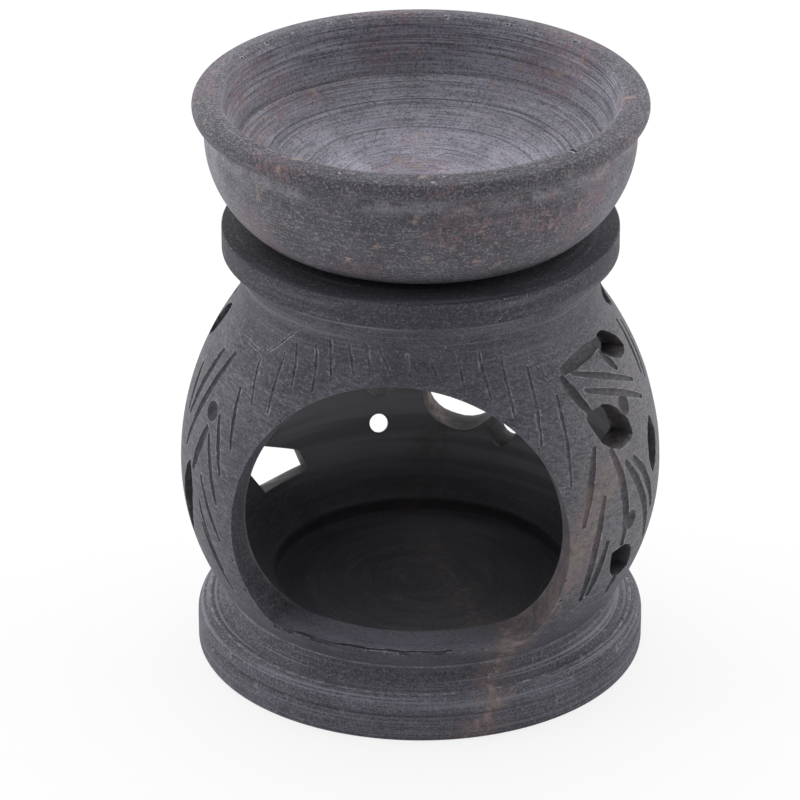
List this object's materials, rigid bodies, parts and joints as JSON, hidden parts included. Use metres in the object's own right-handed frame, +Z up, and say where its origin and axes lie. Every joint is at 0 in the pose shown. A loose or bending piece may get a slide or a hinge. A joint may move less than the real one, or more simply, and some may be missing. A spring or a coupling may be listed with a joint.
{
  "type": "essential oil burner",
  "caption": "Turned stone oil burner: a round body with a window for a tea light and pierced leaves, carrying a loose shallow dish for oil.",
  "frame": {"origin": "middle of the foot's flat underside", "axes": "+Z up along the turning axis, -Y out through the middle of the window"},
  "size_m": [0.08, 0.0776, 0.0996],
  "materials": {
    "dark_soapstone": "matte, turned and scratched",
    "grey_soapstone": "matte, turned, mottled"
  },
  "bodies": {
    "burner": {"burner_body": "dark_soapstone"},
    "dish": {"oil_dish": "grey_soapstone"}
  },
  "joints": [
    {"name": "dish_lift", "type": "slide", "parent": "burner", "child": "dish", "axis": [0, 0, 1], "range_m": [0, 0.06]}
  ]
}
